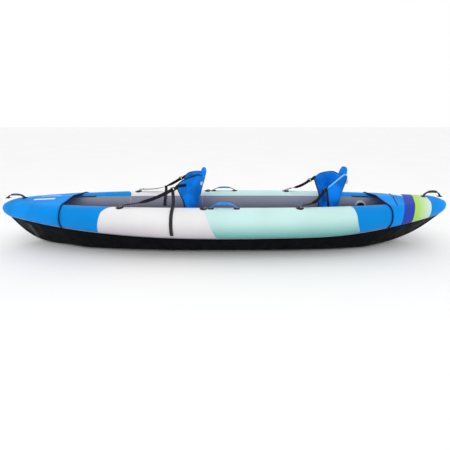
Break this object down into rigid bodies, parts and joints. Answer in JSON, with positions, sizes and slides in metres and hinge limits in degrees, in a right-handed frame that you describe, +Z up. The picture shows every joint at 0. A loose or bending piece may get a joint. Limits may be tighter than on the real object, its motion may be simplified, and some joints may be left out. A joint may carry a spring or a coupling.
{
  "type": "inflatable kayak",
  "caption": "Tandem inflatable kayak with round side tubes, bow and stern spray decks, strapped high-back seats, carry handles and inflation valves.",
  "frame": {"origin": "middle of the hull's length and width, on the surface that the hull stands on", "axes": "+X towards the stern, +Y to starboard, +Z up"},
  "size_m": [4.12, 0.854, 0.7118],
  "materials": {
    "tube_cover": "satin",
    "hull_skin": "satin",
    "floor_skin": "satin",
    "seam_tape": "satin",
    "deck_fabric": "matte",
    "piping": "matte",
    "hook_and_loop": "matte",
    "seat_fabric": "matte",
    "cushion_fabric": "matte",
    "webbing": "matte",
    "grip_sleeve": "matte",
    "stern_grip": "satin",
    "patch": "matte",
    "ring_steel": "satin",
    "hook_plastic": "satin",
    "buckle_plastic": "satin",
    "valve_body": "satin",
    "valve_cap": "satin",
    "valve_plunger": "satin"
  },
  "bodies": {
    "root": {"bow_deck_piping": "piping", "bow_spray_deck": "deck_fabric", "end_handle_patches": "patch", "fastening_strips": "hook_and_loop", "floor_chamber": "floor_skin", "floor_valve_body": "valve_body", "front_port_strap": "webbing", "front_port_strap_tail": "webbing", "front_seat_cushion": "cushion_fabric", "front_starboard_strap": "webbing", "front_starboard_strap_tail": "webbing", "hull_bottom": "hull_skin", "port_air_tube": "tube_cover", "port_seam_tape": "seam_tape", "port_valve_body": "valve_body", "rear_port_strap": "webbing", "rear_seat_cushion": "cushion_fabric", "rear_starboard_strap": "webbing", "ring_patches": "patch", "side_handle_patches": "patch", "snap_hooks": "hook_plastic", "starboard_air_tube": "tube_cover", "starboard_seam_tape": "seam_tape", "starboard_valve_body": "valve_body", "stern_deck_piping": "piping", "stern_spray_deck": "deck_fabric", "strap_rings": "ring_steel"},
    "front_back": {"front_backrest": "seat_fabric", "front_buckles": "buckle_plastic"},
    "rear_back": {"rear_backrest": "seat_fabric", "rear_buckles": "buckle_plastic"},
    "port_handle": {"port_handle_webbing": "webbing", "port_handle_grip": "grip_sleeve"},
    "starboard_handle": {"starboard_handle_webbing": "webbing", "starboard_handle_grip": "grip_sleeve"},
    "bow_handle": {"bow_handle_webbing": "webbing", "bow_handle_grip": "grip_sleeve"},
    "stern_handle": {"stern_handle_webbing": "webbing", "stern_handle_grip": "stern_grip"},
    "port_ring": {"port_free_ring": "ring_steel"},
    "starboard_ring": {"starboard_free_ring": "ring_steel"},
    "port_cap": {"port_valve_cap": "valve_cap"},
    "port_plunger": {"port_valve_plunger": "valve_plunger"},
    "starboard_cap": {"starboard_valve_cap": "valve_cap"},
    "starboard_plunger": {"starboard_valve_plunger": "valve_plunger"},
    "floor_cap": {"floor_valve_cap": "valve_cap"},
    "floor_plunger": {"floor_valve_plunger": "valve_plunger"}
  },
  "joints": [
    {"name": "front_backrest_recline", "type": "hinge", "parent": "root", "child": "front_back", "pos_m": [-0.31, 0, 0.232], "axis": [0, 1, 0], "range_deg": [-30, 15], "deforming": ["front_port_strap", "front_starboard_strap", "front_port_strap_tail", "front_starboard_strap_tail"]},
    {"name": "rear_backrest_recline", "type": "hinge", "parent": "root", "child": "rear_back", "pos_m": [0.976, 0, 0.232], "axis": [0, 1, 0], "range_deg": [-30, 15], "deforming": ["rear_port_strap", "rear_starboard_strap"]},
    {"name": "port_handle_fold", "type": "hinge", "parent": "root", "child": "port_handle", "pos_m": [0, -0.295, 0.4275], "axis": [1, 0, 0], "range_deg": [-80, 80], "deforming": ["port_handle_webbing"]},
    {"name": "starboard_handle_fold", "type": "hinge", "parent": "root", "child": "starboard_handle", "pos_m": [0, 0.295, 0.4275], "axis": [1, 0, 0], "range_deg": [-80, 80], "deforming": ["starboard_handle_webbing"]},
    {"name": "bow_handle_fold", "type": "hinge", "parent": "root", "child": "bow_handle", "pos_m": [-1.935, 0, 0.43235], "axis": [1, 0, 0], "range_deg": [-80, 80], "deforming": ["bow_handle_webbing"]},
    {"name": "stern_handle_fold", "type": "hinge", "parent": "root", "child": "stern_handle", "pos_m": [1.93, 0, 0.44653], "axis": [1, 0, 0], "range_deg": [-80, 80], "deforming": ["stern_handle_webbing"]},
    {"name": "port_ring_swing", "type": "hinge", "parent": "root", "child": "port_ring", "pos_m": [-0.168, -0.29473, 0.4305], "axis": [0, 1, 0], "range_deg": [-170, 0]},
    {"name": "starboard_ring_swing", "type": "hinge", "parent": "root", "child": "starboard_ring", "pos_m": [-0.168, 0.29473, 0.4305], "axis": [0, 1, 0], "range_deg": [-170, 0]},
    {"name": "port_cap_turn", "type": "hinge", "parent": "root", "child": "port_cap", "pos_m": [1.33683, -0.10595, 0.31951], "axis": [-0.1764, 0.9843, 0], "range_deg": [0, 90]},
    {"name": "port_plunger_press", "type": "slide", "parent": "root", "child": "port_plunger", "axis": [0.1764, -0.9843, 0], "range_m": [0, 0.005], "stiffness_N_per_m": 300, "springref_m": -0.002},
    {"name": "starboard_cap_turn", "type": "hinge", "parent": "root", "child": "starboard_cap", "pos_m": [1.33683, 0.10595, 0.31951], "axis": [-0.1764, -0.9843, 0], "range_deg": [0, 90]},
    {"name": "starboard_plunger_press", "type": "slide", "parent": "root", "child": "starboard_plunger", "axis": [0.1764, 0.9843, 0], "range_m": [0, 0.005], "stiffness_N_per_m": 300, "springref_m": -0.002},
    {"name": "floor_cap_turn", "type": "hinge", "parent": "root", "child": "floor_cap", "pos_m": [1.215, 0, 0.165], "axis": [0, 0, 1], "range_deg": [0, 90]},
    {"name": "floor_plunger_press", "type": "slide", "parent": "root", "child": "floor_plunger", "axis": [0, 0, -1], "range_m": [0, 0.005], "stiffness_N_per_m": 300, "springref_m": -0.002}
  ]
}
